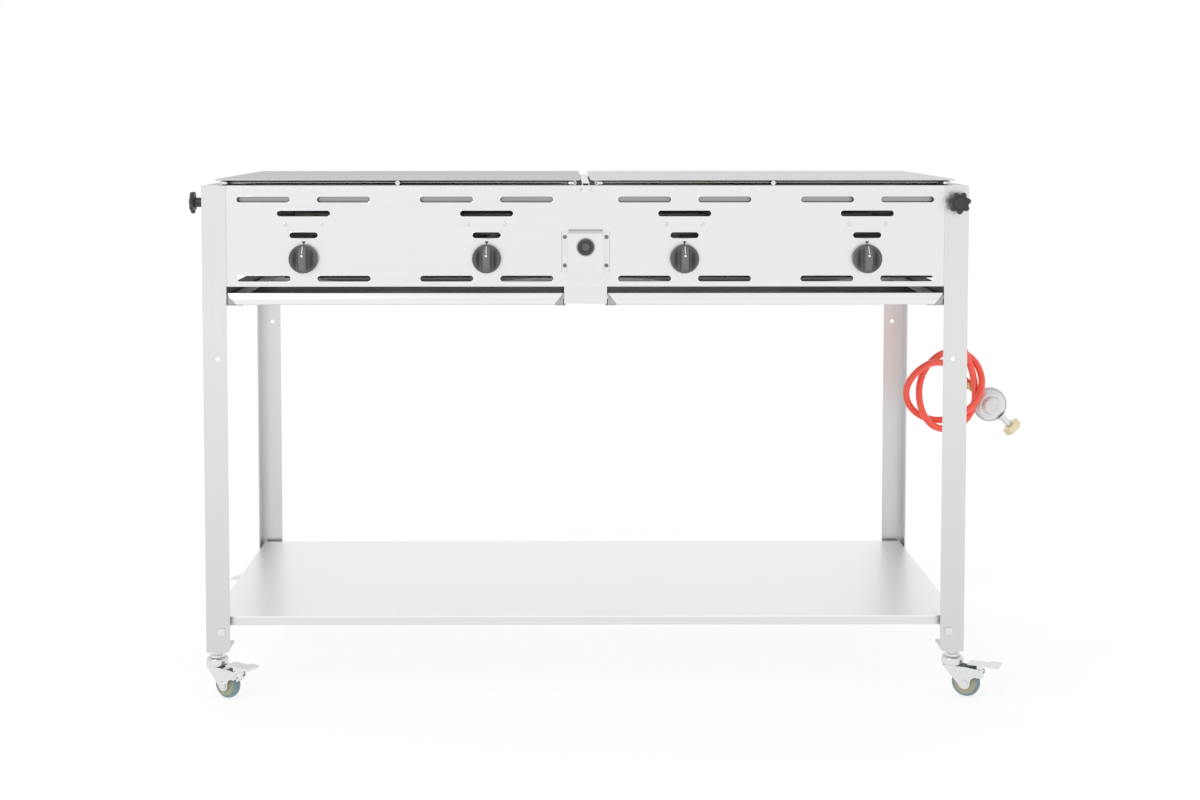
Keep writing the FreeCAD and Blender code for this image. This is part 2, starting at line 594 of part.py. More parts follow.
def gas_inlet():
    """Brass elbow through the right hand panel, ending in a hose ferrule."""
    level = rod(V(WALL_X, 0, MANIFOLD_Z), V(INLET.x, 0, MANIFOLD_Z), 8.5)
    flange = hex_prism(V(CABINET_X, 0, MANIFOLD_Z), V(1, 0, 0), 24, 9)
    corner = Part.makeSphere(8.5, V(INLET.x, 0, MANIFOLD_Z))
    drop = rod(V(INLET.x, 0, MANIFOLD_Z), V(INLET.x, 0, INLET.z + 20), 8.5)
    nut = hex_prism(V(INLET.x, 0, INLET.z + 22), V(0, 0, 1), 19, 12)
    ferrule = rod(INLET, V(INLET.x, 0, INLET.z + 24), 8.8)
    return level.multiFuse([flange, corner, drop, nut, ferrule])


def hose():
    """Tube along straight runs joined by tangent arcs; the radii are printed."""
    points = [V(*p) for p in HOSE_ROUTE]
    edges = []
    start = points[0]
    radii = []
    for before, here, after in zip(points, points[1:], points[2:]):
        run_in = here - before
        run_out = after - here
        turn = run_in.getAngle(run_out)
        shorter = min(run_in.Length, run_out.Length)
        back = ARC_SHARE * shorter
        radius = back / math.tan(turn / 2)
        radii.append(radius)
        enter = here - V(run_in).normalize() * back
        leave = here + V(run_out).normalize() * back
        inward = (V(run_out).normalize() - V(run_in).normalize()).normalize()
        middle = here + inward * (radius / math.cos(turn / 2) - radius)
        edges.append(Part.LineSegment(start, enter).toShape())
        edges.append(Part.Arc(enter, middle, leave).toShape())
        start = leave
    edges.append(Part.LineSegment(start, points[-1]).toShape())
    path = Part.Wire(edges)
    ring = Part.Wire(Part.makeCircle(HOSE_R, points[0], points[1] - points[0]))
    tube = path.makePipeShell([ring], True, True)
    print("hose radii", [round(r) for r in radii])
    print("hose length %.0f, volume ratio %.4f"
          % (path.Length, tube.Volume / (math.pi * HOSE_R ** 2 * path.Length)))
    return tube


def regulator():
    """Round regulator with a domed cap, its outlet ferrule and its neck on one sloping line."""
    end = V(*HOSE_ROUTE[-1])
    centre = end + SLOPE * OUTLET
    disc = rod(centre + V(0, 11, 0), centre + V(0, -9, 0), REGULATOR_R)
    shoulder = rod(centre + V(0, -9, 0), centre + V(0, -15, 0), 25)
    cap = rod(centre + V(0, -15, 0), centre + V(0, -27, 0), 16.5)
    ferrule = rod(end, end + SLOPE * 22, 8.8)
    union = hex_prism(end + SLOPE * 2, SLOPE, 19, 9)
    spout = rod(end + SLOPE * 20, centre, 7)
    neck = rod(centre, centre + SLOPE * NECK, 6.25)
    return disc.multiFuse([shoulder, cap, ferrule, union, spout, neck])


def bottle_nut():
    """Large union nut with its threaded mouth turned away from the regulator."""
    seat = V(*HOSE_ROUTE[-1]) + SLOPE * (OUTLET + NECK)
    nut = hex_prism(seat, SLOPE, NUT_ACROSS, NUT_LENGTH)
    return nut.cut(rod(seat + SLOPE * 3, seat + SLOPE * 20, 10.9))


def build():
    os.makedirs("parts", exist_ok=True)
    ends = {"front": -1, "rear": 1}
    sides = {"left": -1, "right": 1}
    brackets = []
    bolts = []
    stems = []
    for end_name, end in ends.items():
        for side_name, side in sides.items():
            corner = end_name + "_" + side_name
            save("leg_" + corner, leg(corner, side, end))
            brackets.append(shelf_bracket(side, end))
            bolts.append(shelf_bolt(side, end))
            place = V(side * CASTOR_X, end * CASTOR_Y, 0)
            turn = CASTOR_TURNS[corner]
            stems.append(turned(castor_stem(), turn, place))
            save("castor_fork_" + corner, turned(castor_fork(), turn, place))
            save("castor_wheel_" + corner, turned(castor_wheel(), turn, place))
            save("brake_pedal_" + corner, turned(brake_pedal(), turn, place))
            save("clamp_knob_" + corner, clamp_knob(corner))
    save("bottom_shelf", bottom_shelf())
    save("shelf_brackets", *brackets)
    save("shelf_bolts", *bolts)
    save("castor_stems", *stems)
    save("clamp_nuts", *[clamp_nut(corner) for corner in clamp_points()])

    save("front_panel", front_panel())
    save("rear_panel", rear_panel())
    save("side_panel_left", side_panel(-1, "front_left"))
    save("side_panel_right", side_panel(1, "rear_right"))
    save("rear_deck", rear_deck())
    save("centre_divider", centre_divider())
    save("centre_cover", centre_cover())
    save("tray_rails", *[tray_rail(s, x, inner) for s in (-1, 1) for x, inner in ((630, -1), (36, 1))])

    save("burners", *[burner(centre) for centre in BURNER_X])
    save("burner_rails", burner_rail(-180), burner_rail(120))
    save("gas_manifold", gas_manifold())
    save("gas_valves", *[gas_valve(centre) for centre in BURNER_X])
    for number, centre in enumerate(BURNER_X, 1):
        save("valve_stem_%d" % number, valve_stem(centre))
        save("gas_knob_%d" % number, gas_knob(centre))
    save("igniter_housing", igniter_housing())
    save("igniter_body", igniter_body())
    save("igniter_button", igniter_button())
    save("spark_electrodes", *[spark_electrode(centre) for centre in BURNER_X])
    save("panel_screws", *panel_screws())

    for name, shape in (("grate", grate()), ("lid", lid()), ("drip_tray", drip_tray())):
        save(name + "_right", shape)
        save(name + "_left", mirror_x(shape))

    save("gas_inlet", gas_inlet())
    save("gas_hose", hose())
    save("regulator", regulator())
    save("bottle_nut", bottle_nut())


build()
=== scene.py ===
import json
import math

import bmesh
import bpy
import numpy as np
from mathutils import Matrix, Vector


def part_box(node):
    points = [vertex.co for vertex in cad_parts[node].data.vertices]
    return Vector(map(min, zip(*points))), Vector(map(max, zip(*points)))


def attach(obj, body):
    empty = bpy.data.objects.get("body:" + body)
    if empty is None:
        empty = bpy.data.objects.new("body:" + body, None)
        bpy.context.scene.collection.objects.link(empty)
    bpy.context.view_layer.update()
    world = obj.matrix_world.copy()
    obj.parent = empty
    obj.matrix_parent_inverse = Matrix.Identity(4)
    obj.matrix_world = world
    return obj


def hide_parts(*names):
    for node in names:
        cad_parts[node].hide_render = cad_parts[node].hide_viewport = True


# Stainless gas barbecue trolley: a burner box under two flat covers, on four angle legs with castors.
# Units are metres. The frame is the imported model, whose origin is on the floor under its middle.

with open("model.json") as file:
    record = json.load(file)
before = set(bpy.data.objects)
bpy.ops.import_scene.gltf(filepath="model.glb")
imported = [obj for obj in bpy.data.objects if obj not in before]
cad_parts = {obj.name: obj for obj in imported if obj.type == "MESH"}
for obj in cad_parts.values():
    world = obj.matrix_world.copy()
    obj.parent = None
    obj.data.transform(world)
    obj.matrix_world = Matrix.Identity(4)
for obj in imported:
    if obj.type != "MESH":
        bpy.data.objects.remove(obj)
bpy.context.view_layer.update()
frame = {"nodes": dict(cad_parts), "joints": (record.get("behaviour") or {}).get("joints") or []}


# Camera. It stands in front of the trolley, a little left of its middle and just above the covers,
# and looks down slightly; the shift brings the castors into the frame.

camera_data = bpy.data.cameras.new("camera")
camera_data.sensor_width = 36.0
camera_data.lens = 54.57
camera_data.shift_x = 0.0197
camera_data.shift_y = -0.15
camera = bpy.data.objects.new("camera", camera_data)
camera.location = (-0.035, -3.471, 1.026)
camera.rotation_euler = (math.radians(86.8), 0.0, math.radians(-0.34))
bpy.context.collection.objects.link(camera)
bpy.context.scene.camera = camera


# Gas hose. Smooth orange-red rubber, 13 mm across. It hangs from the inlet's ferrule, is looped twice
# and ends in the regulator's ferrule.

ROOT = "root"
HOSE_DIAMETER = 0.013
HOSE_ROUTE = np.array([
    (700, 0, 708), (700, 0, 673), (706, 1, 638), (720, 2, 605), (736, 3, 573), (748, 5, 540),
    (755, 7, 506), (753, 6, 472), (735, 0, 443), (705, -8, 429), (672, -16, 433),
    (649, -22, 458), (641, -14, 492), (646, -2, 526), (665, 9, 556), (695, 18, 576),
    (728, 23, 578), (756, 18, 560), (768, 4, 528), (761, -10, 496), (740, -14, 469),
    (711, -6, 451), (679, 2, 444), (647, 4, 453), (622, -4, 477), (615, -16, 510),
    (633, -22, 542), (665, -13, 560), (698, 6, 556), (722, 24, 537), (742.5, 24, 516.5)]) / 1000


class Value:
    """One socket of a material. Arithmetic on it adds Math nodes and gives the result's socket."""

    def __init__(self, paint, socket):
        self.paint = paint
        self.socket = socket

    def math(self, operation, first, second=0.0):
        return self.paint.node("ShaderNodeMath", {"operation": operation}, {0: first, 1: second})

    def __add__(self, other):
        return self.math("ADD", self, other)

    def __sub__(self, other):
        return self.math("SUBTRACT", self, other)

    def __rsub__(self, other):
        return self.math("SUBTRACT", other, self)

    def __mul__(self, other):
        return self.math("MULTIPLY", self, other)

    def fraction(self):
        return self.math("FRACT", self)

    def __gt__(self, other):
        return self.math("GREATER_THAN", self, other)

    def __lt__(self, other):
        return self.math("LESS_THAN", self, other)

    __radd__ = __add__
    __rmul__ = __mul__


class Paint:
    """A material with one Principled shader, and the nodes that feed it."""

    def __init__(self, name, colour, **sockets):
        self.material = bpy.data.materials.new(name)
        self.material.use_nodes = True
        self.tree = self.material.node_tree
        self.shader = self.tree.nodes["Principled BSDF"]
        self.set("Base Color", (*colour, 1.0))
        for socket, value in sockets.items():
            self.set(socket.replace("_", " "), value)

    def feed(self, socket, value):
        if isinstance(value, Value):
            self.tree.links.new(value.socket, socket)
        else:
            socket.default_value = value

    def set(self, socket, value):
        self.feed(self.shader.inputs[socket], value)

    def colour(self):
        """What feeds the colour now, so that another layer can be laid over it."""
        return Value(self, self.shader.inputs["Base Color"].links[0].from_socket)

    def over(self, factor, tone):
        self.set("Base Color", self.mix(factor, self.colour(), tone))
        return self

    def node(self, kind, settings, inputs, output=0):
        made = self.tree.nodes.new(kind)
        for name, value in settings.items():
            setattr(made, name, value)
        for key, value in inputs.items():
            self.feed(made.inputs[key], value)
        return Value(self, made.outputs[output])

    def place(self):
        return self.node("ShaderNodeTexCoord", {}, {}, "Object")

    def axis(self, letter):
        return self.node("ShaderNodeSeparateXYZ", {}, {0: self.place()}, letter)

    def noise(self, stretch, scale, detail=2.0):
        mapped = self.node("ShaderNodeMapping", {}, {"Vector": self.place(), "Scale": stretch})
        return self.node("ShaderNodeTexNoise", {}, {"Vector": mapped, "Scale": scale, "Detail": detail})

    def mix(self, factor, first, second):
        first = first if isinstance(first, Value) else (*first, 1.0)
        return self.node("ShaderNodeMix", {"data_type": "RGBA"}, {0: factor, 6: first, 7: (*second, 1.0)}, 2)

    def bump(self, height, strength, distance):
        made = self.node("ShaderNodeBump", {}, {"Height": height, "Strength": strength, "Distance": distance})
        self.set("Normal", made)


def hose_rubber():
    """Orange-red rubber, a little cloudy, with a soft gloss and a fine moulded grain."""
    paint = Paint("hose_rubber", (0.92, 0.07, 0.03), Roughness=0.2, Coat_Weight=0.4, Coat_Roughness=0.1)
    cloud = paint.noise((1, 1, 1), 45.0, 3.0)
    paint.set("Base Color", paint.mix(cloud, (1.0, 0.11, 0.065), (0.92, 0.075, 0.04)))
    paint.set("Roughness", 0.14 + cloud * 0.14)
    paint.bump(paint.noise((1, 1, 1), 900.0), 0.15, 0.0002)
    return paint


hose_curve = bpy.data.curves.new("gas_hose_line", "CURVE")
hose_curve.dimensions = "3D"
hose_line = hose_curve.splines.new("NURBS")
hose_line.points.add(len(HOSE_ROUTE) - 1)
hose_line.points.foreach_set("co", np.c_[HOSE_ROUTE, np.ones(len(HOSE_ROUTE))].ravel())
hose_line.order_u = 3
hose_line.use_endpoint_u = True
hose_line.resolution_u = 10
hose_curve.bevel_depth = HOSE_DIAMETER / 2
hose_curve.bevel_resolution = 6
hose_curve.use_fill_caps = True
hose = bpy.data.objects.new("gas_hose_rubber", hose_curve)
bpy.context.collection.objects.link(hose)
hose_curve.materials.append(hose_rubber().material)
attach(hose, ROOT)
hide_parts("gas_hose")


# Legs. Four lengths of 2 mm stainless sheet folded to an angle of 42 mm, brushed along their length,
# each with a foot plate welded inside for its castor. Painted shade darkens them towards the floor.

nodes = frame["nodes"]
CORNERS = ("front_left", "front_right", "rear_left", "rear_right")
LEG_PAINTED_SHADE_FROM = 0.62


def brushed(name, light, dark, grain, roughness=0.3, depth=0.12):
    """Satin stainless sheet: long fine scratches along one axis over a slow cloudy tone.

    The scratches are noise stretched forty to one along the grain; they shift the colour, the
    roughness and a very shallow bump together. The cloud is slow noise that adds handling marks.
    """
    paint = Paint(name, light, Metallic=1.0)
    stretch = tuple(0.025 if letter == grain else 1.0 for letter in "XYZ")
    fine = paint.noise(stretch, 700.0, 3.0)
    broad = paint.noise(stretch, 84.0, 2.0)
    cloud = paint.noise((1, 1, 1), 6.0, 3.0)
    tone = fine * 0.35 + broad * 0.4 + cloud * 0.25
    paint.set("Base Color", paint.mix(tone, dark, light))
    paint.set("Roughness", roughness - 0.1 + broad * 0.1 + fine * 0.06 + cloud * 0.06)
    paint.bump(fine * 0.6 + broad * 0.4, depth, 0.0002)
    return paint


def coat(paint, *names):
    """Gives CAD nodes this finish."""
    for name in names:
        for slot in nodes[name].material_slots:
            slot.material = paint.material


leg_steel = brushed("leg_steel", (0.80, 0.80, 0.80), (0.72, 0.72, 0.72), "Z", 0.34)
# Painted shade: below 0.62 m the legs' colour is darkened towards the floor.
leg_steel.over((LEG_PAINTED_SHADE_FROM - leg_steel.axis("Z")) * 1.9, (0.66, 0.66, 0.66))
coat(leg_steel, *["leg_" + corner for corner in CORNERS])


# Bottom shelf. One sheet with its four edges folded down, on small angles bolted to the legs.

shelf_steel = brushed("shelf_steel", (0.97, 0.97, 0.97), (0.90, 0.90, 0.90), "X", 0.36)
# Painted shade: the folded edges, below the top face, are given a darker colour than the top.
shelf_steel.over(shelf_steel.axis("Z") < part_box("bottom_shelf")[1][2] - 0.002, (0.76, 0.76, 0.76))
coat(shelf_steel, "bottom_shelf", "shelf_brackets")


def zinc(name, light, dark):
    """Bright zinc plate: a faint speckle of crystals and duller patches."""
    paint = Paint(name, light, Metallic=1.0)
    speck = paint.noise((1, 1, 1), 900.0, 2.0)
    patch = paint.noise((1, 1, 1), 70.0, 3.0)
    paint.set("Base Color", paint.mix(speck * 0.4 + patch * 0.6, dark, light))
    paint.set("Roughness", 0.16 + patch * 0.22)
    paint.bump(speck, 0.1, 0.0002)
    return paint


zinc_plate = zinc("zinc_plate", (0.86, 0.87, 0.88), (0.66, 0.68, 0.70))
coat(zinc_plate, "shelf_bolts", "castor_stems", "clamp_nuts", "gas_manifold")


# Burner box. Front, side and rear panels of 1.5 mm sheet, the rear deck, the channel between the two
# grates, the plate between the trays and the rails under them, all in satin stainless steel. The
# panels' inner faces have painted shade: their colour is darker than the outer faces.

panel_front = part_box("front_panel")[0][1]
panel_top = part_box("front_panel")[1][2]
panel_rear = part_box("rear_panel")[1][1]
coat(brushed("panel_steel", (0.84, 0.84, 0.84), (0.77, 0.77, 0.77), "X", 0.33),
     "rear_deck", "centre_divider", "centre_cover")
front_steel = brushed("front_steel", (0.86, 0.86, 0.86), (0.79, 0.79, 0.79), "X", 0.33)
# Painted shade: the front panel's inner face, below its top fold, is given a dark colour.
front_inner_shade = front_steel.axis("Y") > panel_front + 0.0017
under_fold = front_steel.axis("Z") < panel_top - 0.003
coat(front_steel.over(front_inner_shade * under_fold, (0.42, 0.42, 0.42)), "front_panel")
rear_steel = brushed("rear_steel", (0.82, 0.82, 0.82), (0.75, 0.75, 0.75), "X", 0.36)
# Painted shade: the rear panel's inner face is given a near black colour.
coat(rear_steel.over(rear_steel.axis("Y") < panel_rear - 0.001, (0.20, 0.20, 0.20)), "rear_panel")
side_steel = brushed("side_steel", (0.82, 0.82, 0.82), (0.74, 0.74, 0.74), "Y", 0.33)
# Painted shade: the side panels' inner faces, and the tray rails between them, are given a darker colour.
side_inside_shade = ((side_steel.axis("X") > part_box("side_panel_left")[0][0] + 0.0012)
               * (side_steel.axis("X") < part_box("side_panel_right")[1][0] - 0.0012))
coat(side_steel.over(side_inside_shade, (0.45, 0.45, 0.45)), "side_panel_left", "side_panel_right", "tray_rails")
housing_steel = brushed("housing_steel", (0.85, 0.85, 0.85), (0.79, 0.79, 0.79), "Z", 0.32)
housing_low, housing_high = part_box("igniter_housing")
# Painted shade: a dark line along the housing's two sides and its top edge stands for the shade at its bends.
housing_edge_shade = ((housing_steel.axis("X") < housing_low[0] + 0.0009)
                + (housing_steel.axis("X") > housing_high[0] - 0.0006)
                + (housing_steel.axis("Z") > housing_high[2] - 0.0022))
coat(housing_steel.over(housing_edge_shade, (0.50, 0.50, 0.50)), "igniter_housing")


# Slot rims. Each vent slot is punched from behind and leaves a thin rolled edge round it.

RIM = 0.0007
SLOT_HIGH = 0.0108
LONG_SLOT = 0.0935
SHORT_SLOT = 0.050
SLOT_PLACES = ((-0.070, 0.8845, LONG_SLOT), (0.070, 0.8845, LONG_SLOT), (0.0, 0.860, LONG_SLOT),
               (0.0, 0.822, SHORT_SLOT), (-0.070, 0.746, LONG_SLOT), (0.070, 0.746, LONG_SLOT))
BURNER_X = (-0.4925, -0.173, 0.173, 0.4925)


def square_faces(rows, columns, wrap_rows, wrap_columns):
    """Corner numbers of each square between neighbouring rows and columns of a grid of points."""
    row = np.arange(rows if wrap_rows else rows - 1)
    column = np.arange(columns if wrap_columns else columns - 1)
    i, j = (part.ravel() for part in np.meshgrid(row, column, indexing="ij"))
    below = (i + 1) % rows
    beside = (j + 1) % columns
    return np.stack([i * columns + j, below * columns + j, below * columns + beside, i * columns + beside], 1)


def make_piece(name, body, paints, grids, replaced=(), sharp=35.0):
    """Joins grids of points into one mesh piece and hangs it on its body.

    A grid is (points, rows wrap, columns wrap, number of its paint). Doubled points are merged, so a
    row that shrinks to one point closes a pole, and the faces are then turned outwards.
    """
    faces = []
    numbers = []
    start = 0
    for points, wrap_rows, wrap_columns, number in grids:
        squares = square_faces(*points.shape[:2], wrap_rows, wrap_columns) + start
        faces.append(squares)
        numbers.append(np.full(len(squares), number))
        start += points.shape[0] * points.shape[1]
    mesh = bpy.data.meshes.new(name)
    corners = np.concatenate([points.reshape(-1, 3) for points, *_ in grids])
    mesh.from_pydata(corners.tolist(), [], np.concatenate(faces).tolist())
    mesh.polygons.foreach_set("material_index", np.concatenate(numbers).astype(np.int32))
    for paint in paints:
        mesh.materials.append(paint.material)
    work = bmesh.new()
    work.from_mesh(mesh)
    bmesh.ops.remove_doubles(work, verts=work.verts, dist=1e-6)
    bmesh.ops.dissolve_degenerate(work, edges=work.edges, dist=1e-7)
    bmesh.ops.recalc_face_normals(work, faces=work.faces)
    work.to_mesh(mesh)
    work.free()
    mesh.shade_smooth()
    mesh.set_sharp_from_angle(angle=math.radians(sharp))
    made = bpy.data.objects.new(name, mesh)
    bpy.context.collection.objects.link(made)
    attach(made, body)
    if replaced:
        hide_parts(*replaced)
    return made


def rounded_outline(width, height, radius, steps=7):
    """Points and outward normals of a rectangle whose corners are quarter circles."""
    quarter = np.linspace(0, math.pi / 2, steps)
    angle = np.concatenate([quarter + turn * math.pi / 2 for turn in range(4)])
    normal = np.stack([np.cos(angle), np.sin(angle)], 1)
    centre = np.sign(np.repeat([(1, 1), (-1, 1), (-1, -1), (1, -1)], steps, axis=0))
    centre = centre * (width / 2 - radius, height / 2 - radius)
    return centre + radius * normal, normal


def carried(outline, profile, centre, across, up, out):
    """Outline carried along a profile: each profile pair is (outset, height) from the outline's plane."""
    points, normals = outline
    outset = np.array([pair[0] for pair in profile])[:, None, None]
    height = np.array([pair[1] for pair in profile])[:, None, None]
    flat = points[None] + normals[None] * outset
    return (np.array(centre) + flat[..., :1] * np.array(across) + flat[..., 1:] * np.array(up)
            + height * np.array(out))


X_AXIS = (1.0, 0.0, 0.0)
Y_AXIS = (0.0, 1.0, 0.0)
Z_AXIS = (0.0, 0.0, 1.0)
FRONT = (0.0, -1.0, 0.0)
around = np.linspace(0, 2 * math.pi, 8, endpoint=False)
rim_profile = [(RIM * 0.4 + RIM * math.cos(a), RIM * 0.9 * math.sin(a)) for a in around]
rims = []
for burner in BURNER_X:
    for dx, z, length in SLOT_PLACES:
        stadium = rounded_outline(length, SLOT_HIGH, SLOT_HIGH / 2, 9)
        rims.append((carried(stadium, rim_profile, (burner + dx, panel_front, z), X_AXIS, Z_AXIS, FRONT),
                     True, True, 0))
rim_steel = brushed("rim_steel", (1.0, 1.0, 1.0), (0.97, 0.97, 0.97), "X", 0.24)
make_piece("slot_rims", ROOT, [rim_steel], rims)


# Panel screws. Domed heads with a flange and a hexagon socket: plain ones under the wide slots and
# at the divider, darker ones round the igniter housing.


def lathe(profile, centre, axis, columns=48, outline=None):
    """Surface of revolution: each profile pair is (distance along the axis, radius).

    The angle is counted from straight down, or from +X for an upright axis. An outline scales the
    radius at each angle, which gives lobes and flats.
    """
    axis = np.array(axis, float)
    axis = axis / np.linalg.norm(axis)
    first = np.array(X_AXIS) if abs(axis[2]) > 0.9 else np.array((0.0, 0.0, -1.0))
    first = first - axis * (first @ axis)
    first = first / np.linalg.norm(first)
    second = np.cross(axis, first)
    angle = np.linspace(0, 2 * math.pi, columns, endpoint=False)
    scale = np.ones(columns) if outline is None else outline(angle)
    spoke = (np.cos(angle) * scale)[:, None] * first + (np.sin(angle) * scale)[:, None] * second
    along = np.array([pair[0] for pair in profile])
    radius = np.array([pair[1] for pair in profile])
    return np.array(centre) + along[:, None, None] * axis + radius[:, None, None] * spoke[None]


def hexagon(angle):
    """Radius of a hexagon whose flats are at distance 1; a corner is at angle 0."""
    return 1 / np.cos(angle % (math.pi / 3) - math.pi / 6)


def screw_head(x, y, z, radius, number):
    profile = [(0.0, 0.0), (0.0, radius), (0.0006, radius), (0.0008, radius * 0.82),
               (0.0018, radius * 0.7), (0.0024, radius * 0.45), (0.0024, radius * 0.36),
               (0.0013, radius * 0.36), (0.0013, 0.0)]
    return lathe(profile, (x, y, z), FRONT, 24), False, True, number


BURNER_SCREWS = (0.032, 0.841, 0.0040)
HOUSING_SCREWS = (0.0365, (0.769, 0.819), 0.0036)
DIVIDER_SCREWS = (0.0085, 0.902, 0.0032)
housing_face = panel_front - 0.0015
aside, z, radius = BURNER_SCREWS
screws = [screw_head(burner + side * aside, panel_front, z, radius, 0) for burner in BURNER_X for side in (-1, 1)]
aside, heights, radius = HOUSING_SCREWS
screws += [screw_head(side * aside, housing_face, z, radius, 1) for side in (-1, 1) for z in heights]
aside, z, radius = DIVIDER_SCREWS
screws += [screw_head(side * aside, panel_front, z, radius, 0) for side in (-1, 1)]
dark_zinc = zinc("blackened_zinc", (0.30, 0.30, 0.31), (0.16, 0.16, 0.17))
make_piece("panel_screw_heads", ROOT, [zinc_plate, dark_zinc], screws, ["panel_screws"])


# Burners. Bright drawn tube bent to a hairpin, with a row of flame slits along the top and a brown
# heat tint round them. They rest on two folded strips.


SLITS_PER_METRE = 83.0
SLIT_SHARE = 0.22


def burner_tube():
    """Drawn steel with a straw tint where the flames stand, and its slits every 12 mm along the crown painted near
    black as shade.
    """
    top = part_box("burners")[1][2]
    paint = brushed("burner_steel", (0.70, 0.68, 0.64), (0.50, 0.48, 0.45), "Y", 0.32)
    high = paint.axis("Z")
    crown = high > top - 0.0006
    slit_shade = (paint.axis("Y") * SLITS_PER_METRE).fraction() < SLIT_SHARE
    paint.over((high > top - 0.006) * 0.55, (0.52, 0.40, 0.24))
    # Painted shade: near black bands in the colour stand for the open slits along the crown.
    return paint.over(crown * slit_shade, (0.01, 0.01, 0.01))


coat(burner_tube(), "burners")
coat(brushed("carrier_steel", (0.46, 0.45, 0.44), (0.34, 0.33, 0.32), "X", 0.36), "burner_rails")


# Valves, inlet and stems. Machined brass, with turning marks and slightly tarnished hollows.


def machined_brass(name, light, dark):
    paint = Paint(name, light, Metallic=1.0)
    tarnish = paint.noise((1, 1, 1), 60.0, 4.0)
    marks = paint.noise((1, 1, 1), 1400.0, 1.0)
    paint.set("Base Color", paint.mix(tarnish * 0.7 + marks * 0.3, dark, light))
    paint.set("Roughness", 0.2 + tarnish * 0.25)
    paint.bump(marks, 0.12, 0.0002)
    return paint


brass = machined_brass("brass", (0.83, 0.68, 0.40), (0.58, 0.43, 0.20))
coat(brass, "gas_valves", "gas_inlet", *["valve_stem_%d" % n for n in range(1, 5)])


# Gas knobs. Moulded in dark grey plastic: a round skirt, a grip ridge across it with a scoop on
# each side, and a white line and dot printed on the ridge.


def moulded(name, light, dark, roughness, grain):
    """Moulded plastic: a fine spark-eroded grain, slightly uneven gloss and paler worn spots."""
    paint = Paint(name, light)
    speck = paint.noise((1, 1, 1), grain, 2.0)
    cloud = paint.noise((1, 1, 1), 55.0, 3.0)
    paint.set("Base Color", paint.mix(cloud, dark, light))
    paint.set("Roughness", roughness - 0.08 + cloud * 0.16)
    paint.bump(speck, 0.25, 0.0002)
    return paint


def smooth_step(value):
    value = np.clip(value, 0, 1)
    return value * value * (3 - 2 * value)


def knob_height(x, z):
    """Height over the knob's back: a skirt with two scoops, and a ridge 12 mm wide.

    The ridge is 24 mm high in the middle and runs down to the skirt at both ends.
    """
    off = np.hypot(x, z) / 0.025
    aside = np.abs(x)
    scoop = 0.0060 * np.exp(-((aside - 0.0115) / 0.0056) ** 2) * np.exp(-(z / 0.0175) ** 4)
    base = 0.0110 - scoop - 0.0020 * off ** 6
    end = np.clip((np.abs(z) - 0.0060) / 0.0190, 0, 1)
    ridge = 0.0240 - 0.0145 * end ** 1.4 - 0.0012 * (aside / 0.006) ** 2
    blend = smooth_step((0.0077 - aside) / 0.0019)
    return base + np.maximum(ridge - base, 0) * blend


def knob_grids(x, y, z):
    """Height field on rings and spokes, its wall down to the back, and the back itself."""
    angle = np.linspace(0, 2 * math.pi, 144, endpoint=False)
    rings = np.concatenate([np.linspace(0, 0.0235, 40), 0.0235 + 0.0015 * np.sin(np.linspace(0.25, 1.57, 6))])
    rx = rings[:, None] * np.sin(angle)
    rz = rings[:, None] * np.cos(angle)
    rise = knob_height(rx, rz)
    rise[40:] -= 0.0015 * (1 - np.cos(np.linspace(0.25, 1.57, 6)))[:, None]
    face = np.stack([x + rx, y - rise, z + rz], -1)
    back = np.stack([x + rx[-1], np.full(144, y), z + rz[-1]], -1)
    centre = np.broadcast_to((x, y, z), (144, 3))
    return np.concatenate([face, back[None], centre[None]]), False, True, 0


def knob_dot(x, y, z, dz, radius):
    """Round printed patch on the ridge."""
    angle = np.linspace(0, 2 * math.pi, 20, endpoint=False)
    rows = []
    for share in (0.0, radius):
        px, pz = share * np.sin(angle), dz + share * np.cos(angle)
        rows.append(np.stack([x + px, y - knob_height(px, pz) - 0.00015, z + pz], -1))
    return np.stack(rows), False, True, 1


def knob_line(x, y, z, low, high, width):
    """Printed strip that follows the ridge from one height on the face to another."""
    px, pz = np.meshgrid((-width / 2, width / 2), np.linspace(low, high, 16))
    return np.stack([x + px, y - knob_height(px, pz) - 0.00015, z + pz], -1), False, False, 1


knob_plastic = moulded("knob_plastic", (0.110, 0.112, 0.116), (0.080, 0.082, 0.085), 0.45, 1500.0)
# Painted light: the parts of the face that stand furthest out, the ridge, are given a paler colour than the scoops
# and skirt.
knob_plastic.over((-0.312 - knob_plastic.axis("Y")) * 110, (0.155, 0.157, 0.162))
print_white = Paint("printed_white", (0.85, 0.85, 0.84), Roughness=0.5)
for number, burner in enumerate(BURNER_X, 1):
    low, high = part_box("gas_knob_%d" % number)
    spot = ((low[0] + high[0]) / 2, high[1], (low[2] + high[2]) / 2)
    make_piece("gas_knob_grip_%d" % number, "gas_knob_%d" % number, [knob_plastic, print_white],
               [knob_grids(*spot), knob_line(*spot, 0.0100, 0.0225, 0.0014), knob_dot(*spot, 0.0065, 0.0020)],
               ["gas_knob_%d" % number])


# Pointer marks. A small dark triangle is printed on the panel over each knob.

ink = Paint("panel_ink", (0.06, 0.06, 0.06), Roughness=0.6)
marks = []
for burner in BURNER_X:
    tip = np.array([(-0.0035, 0.003), (0.0035, 0.003), (0.0, -0.003)])
    place = np.stack([burner + tip[:, 0], np.full(3, panel_front - 0.00015), 0.8085 + tip[:, 1]], -1)
    middle = np.broadcast_to(place.mean(0), (3, 3))
    marks.append((np.stack([middle, place]), False, True, 0))
make_piece("pointer_marks", ROOT, [ink], marks)


# Igniter. A piezo unit with a black threaded body, a thin ring against the housing and a grey push
# button set a little into it.

